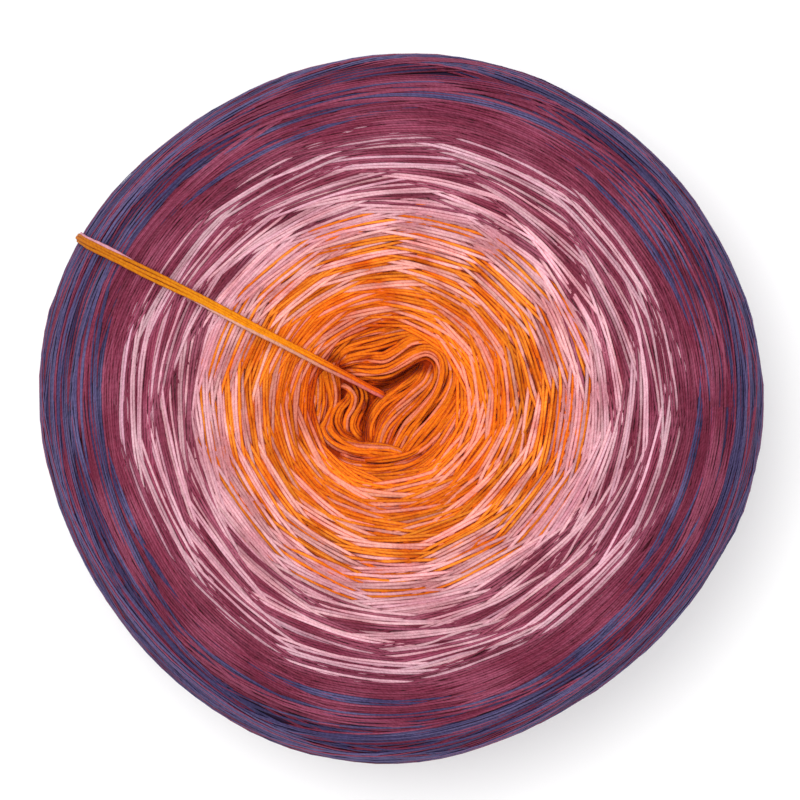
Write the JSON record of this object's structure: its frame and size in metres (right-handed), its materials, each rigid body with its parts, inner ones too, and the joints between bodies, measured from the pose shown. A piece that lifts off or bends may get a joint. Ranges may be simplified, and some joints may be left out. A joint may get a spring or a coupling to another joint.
{
  "type": "yarn cake",
  "caption": "Flat-ended wound cake of unplied yarn with a sunk core and its loose inner end drawn over the rim.",
  "frame": {"origin": "middle of the base, on the surface that the cake rests on", "axes": "+Z up out of the top face with the sunk core, +X to the right and +Y up in a view from straight above"},
  "size_m": [0.1475, 0.1443, 0.0639],
  "materials": {
    "yarn_winding": "soft matt threads, wound, from orange in the core through pale pink and wine to blue at the rim",
    "yarn_end": "soft matt threads side by side, orange with a pale pink one"
  },
  "bodies": {
    "root": {"wound_cake": "yarn_winding", "loose_end": "yarn_end"}
  },
  "joints": []
}
